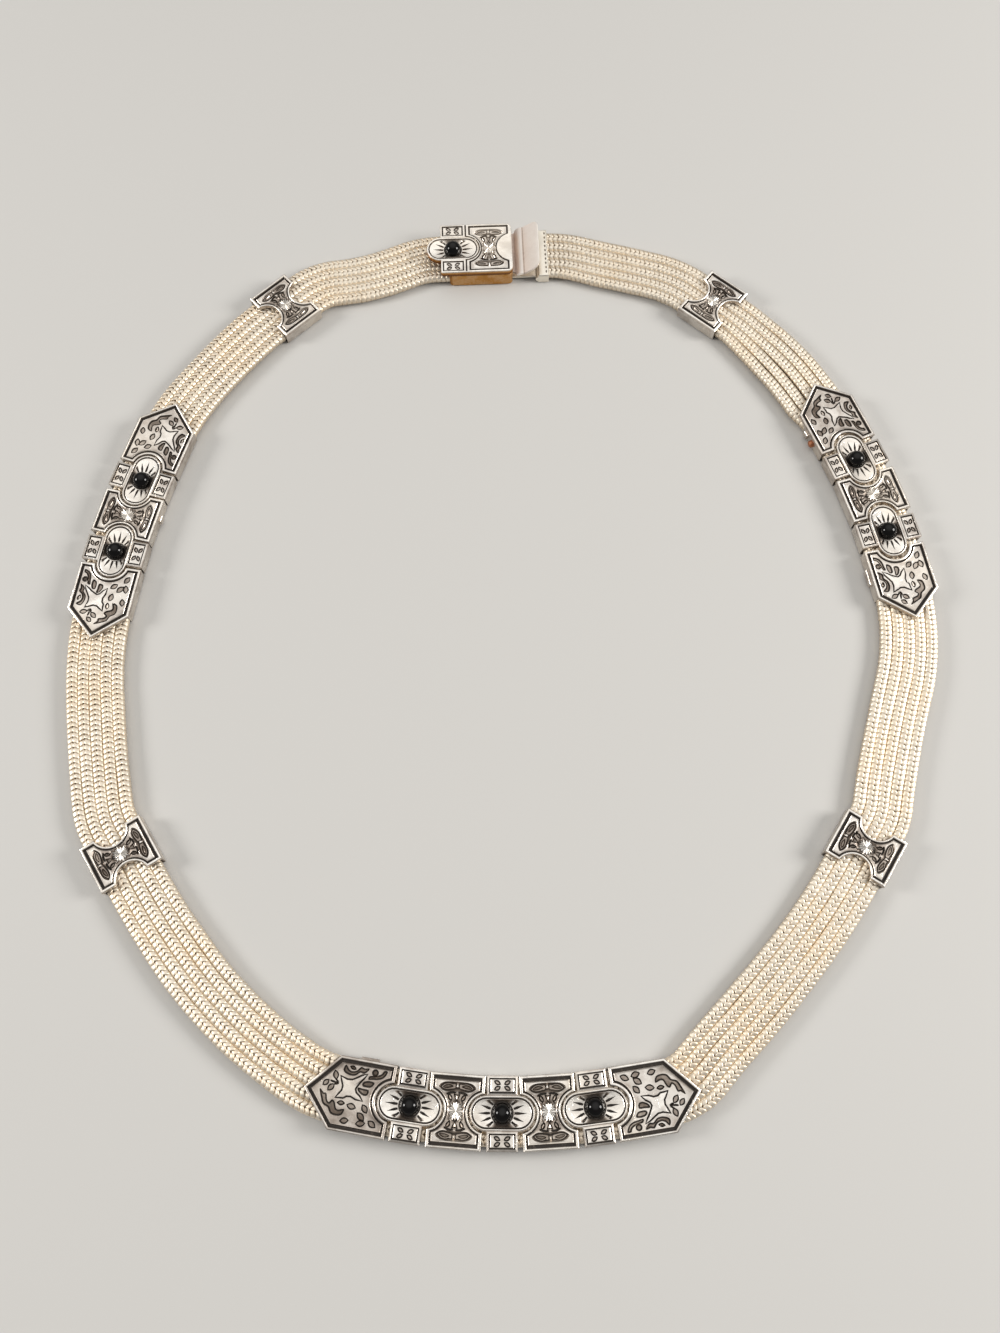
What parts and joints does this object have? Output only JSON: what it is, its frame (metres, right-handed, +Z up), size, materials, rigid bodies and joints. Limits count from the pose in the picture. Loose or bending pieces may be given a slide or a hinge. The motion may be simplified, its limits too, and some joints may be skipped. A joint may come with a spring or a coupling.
{
  "type": "mesh choker",
  "caption": "Choker of side-by-side woven silver strands that run through relief plates set with round black stones, closed by a box clasp with a sprung lever.",
  "frame": {"origin": "centre of the bounding box at the underside, on the surface it lies on", "axes": "+Z up, out of the relief faces; -Y to the front group of plates; +Y to the clasp; +X to the right seen from above"},
  "size_m": [0.1454, 0.1596, 0.0054],
  "materials": {
    "woven_silver": null,
    "relief_silver": "polished raised relief over blackened oxidised recesses (silver)",
    "onyx": null,
    "clasp_box": "oxidised relief faces on a satin box with a yellowish tarnish (silver)",
    "clasp_tongue": "satin sheet silver",
    "clasp_lever": "brushed sheet silver"
  },
  "bodies": {
    "choker": {"strand_1": "woven_silver", "strand_2": "woven_silver", "strand_3": "woven_silver", "strand_4": "woven_silver", "strand_5": "woven_silver", "front_tip_left": "relief_silver", "front_oval_left": "relief_silver", "front_hourglass_left": "relief_silver", "front_oval_middle": "relief_silver", "front_hourglass_right": "relief_silver", "front_oval_right": "relief_silver", "front_tip_right": "relief_silver", "left_tip_upper": "relief_silver", "left_oval_upper": "relief_silver", "left_hourglass": "relief_silver", "left_oval_lower": "relief_silver", "left_tip_lower": "relief_silver", "right_tip_upper": "relief_silver", "right_oval_upper": "relief_silver", "right_hourglass": "relief_silver", "right_oval_lower": "relief_silver", "right_tip_lower": "relief_silver", "upper_left_hourglass": "relief_silver", "upper_right_hourglass": "relief_silver", "lower_left_hourglass": "relief_silver", "lower_right_hourglass": "relief_silver", "stone_front_left": "onyx", "stone_front_middle": "onyx", "stone_front_right": "onyx", "stone_left_upper": "onyx", "stone_left_lower": "onyx", "stone_right_upper": "onyx", "stone_right_lower": "onyx", "stone_clasp": "onyx", "clasp_box": "clasp_box", "clasp_tongue": "clasp_tongue"},
    "clasp_lever": {"clasp_lever": "clasp_lever"}
  },
  "joints": [
    {"name": "lever_press", "type": "hinge", "parent": "choker", "child": "clasp_lever", "pos_m": [-0.00565, 0.07428, 0.0015], "axis": [-0.0401, 0.9992, 0], "range_deg": [0, 6], "stiffness_Nm_per_rad": 0.02}
  ]
}
